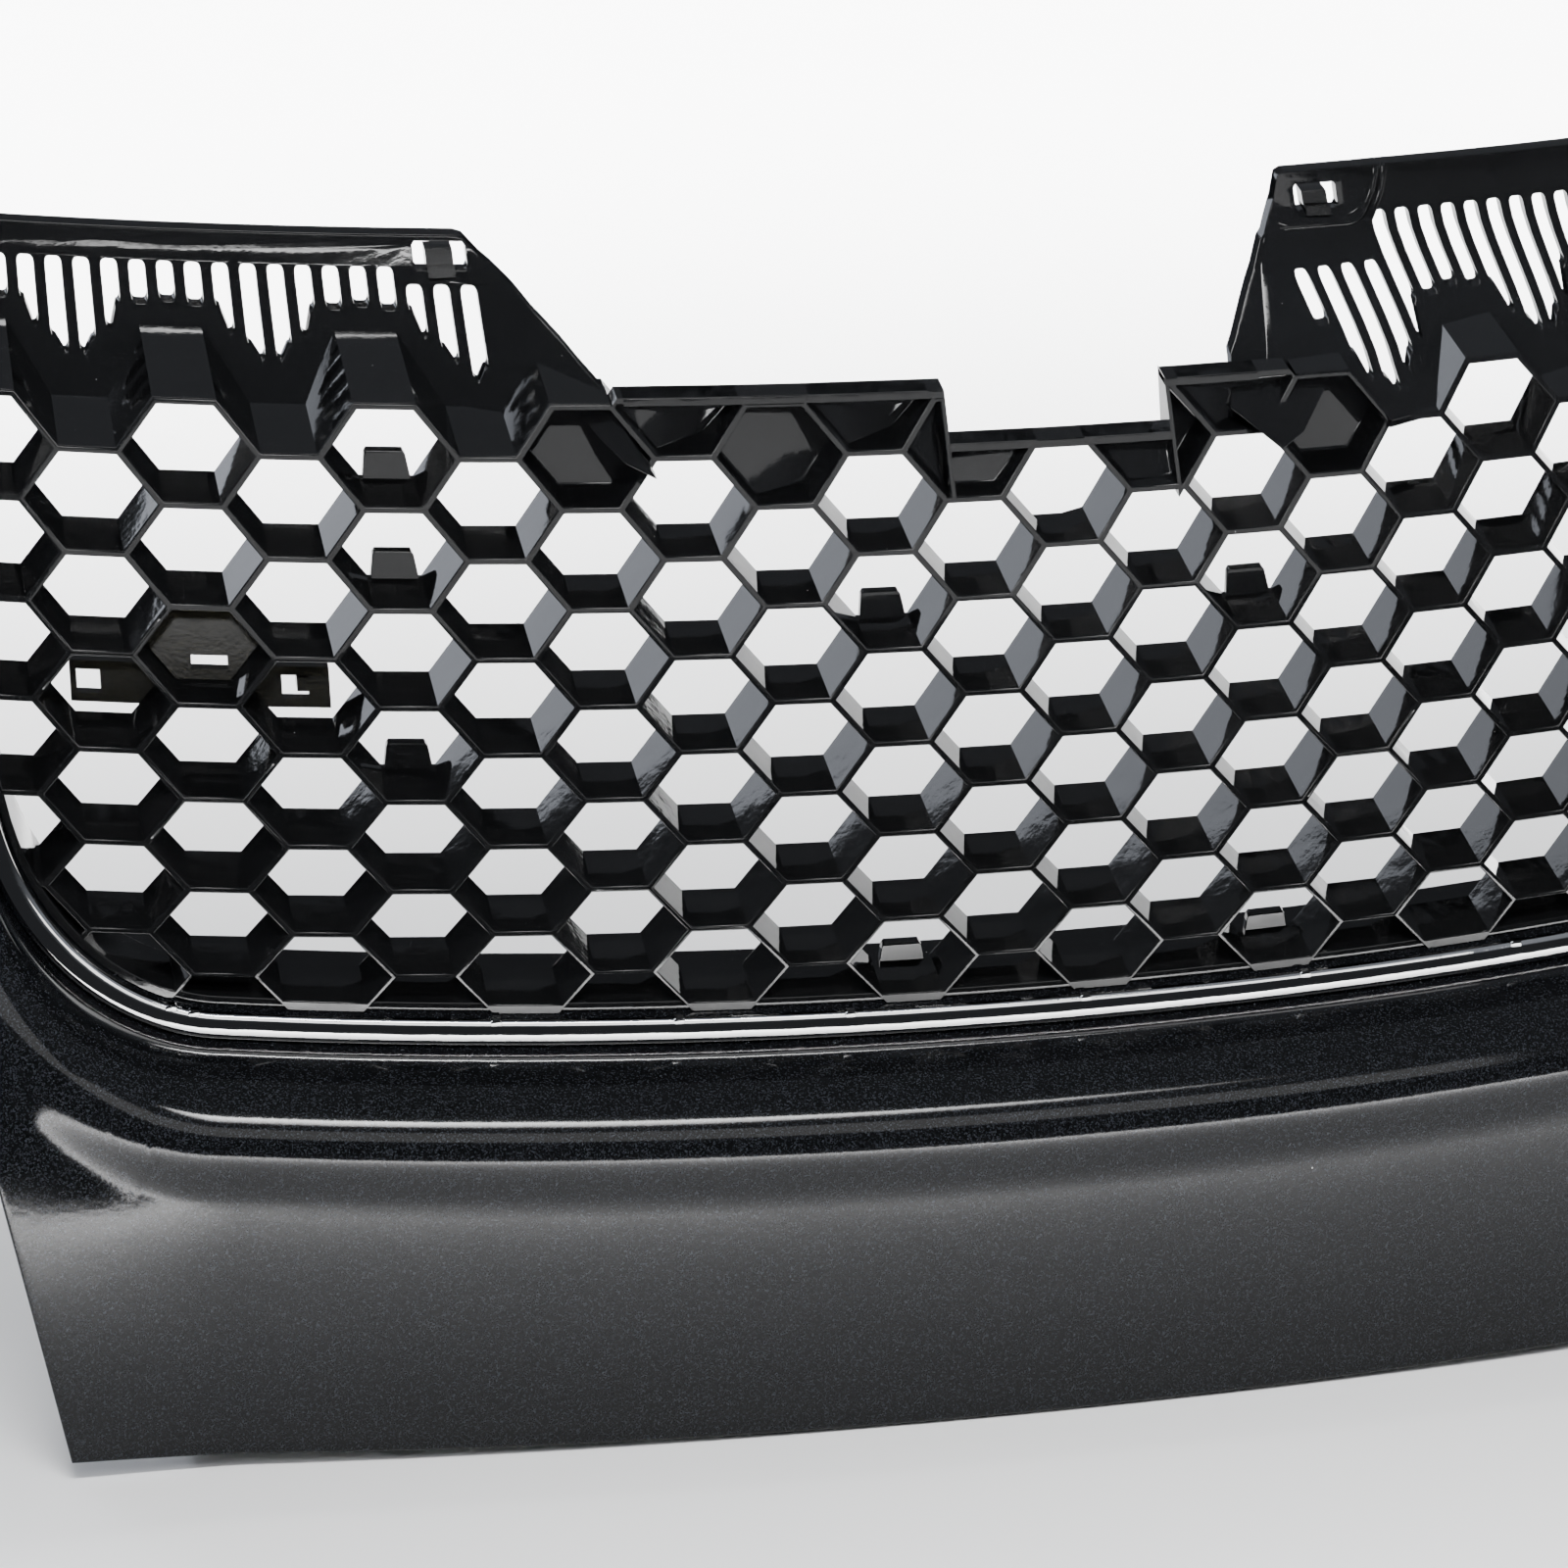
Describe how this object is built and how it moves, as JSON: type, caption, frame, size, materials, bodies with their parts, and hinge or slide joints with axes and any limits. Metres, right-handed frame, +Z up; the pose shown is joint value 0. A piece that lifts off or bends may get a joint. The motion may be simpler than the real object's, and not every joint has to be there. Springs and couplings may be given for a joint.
{
  "type": "front grille",
  "caption": "Gloss black car front grille: hexagonal mesh moulding in a painted surround with a lower panel, and a U-shaped bright strip between them.",
  "frame": {"origin": "middle of the overall box in plan, at the height of the surround's lowest edge", "axes": "+X towards the viewer's right, +Y towards the rear of the car, +Z up"},
  "size_m": [0.6938, 0.2092, 0.3313],
  "materials": {
    "surround": "high-gloss black paint on a moulded plastic panel",
    "moulding": "gloss black moulded plastic",
    "bright_strip": "bright chrome",
    "carrier": "satin olive-black moulded plastic",
    "clip": "satin black plastic",
    "screw": "zinc-plated steel",
    "spring_steel": "phosphated spring steel",
    "foam": "closed-cell foam",
    "bracket": "glass-filled black plastic",
    "expansion_nut": "natural nylon"
  },
  "bodies": {
    "root": {"surround_panel": "surround", "honeycomb_grille": "moulding", "chrome_trim": "bright_strip", "badge_carrier": "carrier", "upper_clip_left": "clip", "upper_clip_right": "clip", "moulding_screws_left": "screw", "moulding_screws_right": "screw", "moulding_screws_bottom": "screw", "trim_clips_left": "spring_steel", "trim_clips_right": "spring_steel", "trim_clips_bottom": "spring_steel", "foam_strip_left": "foam", "foam_strip_right": "foam", "foam_strip_bottom": "foam", "side_bracket_left": "bracket", "side_bracket_right": "bracket", "bracket_screws_left": "screw", "bracket_screws_right": "screw", "plate_nuts_left": "spring_steel", "plate_nuts_right": "spring_steel", "lower_flange_nuts": "expansion_nut"}
  },
  "joints": []
}
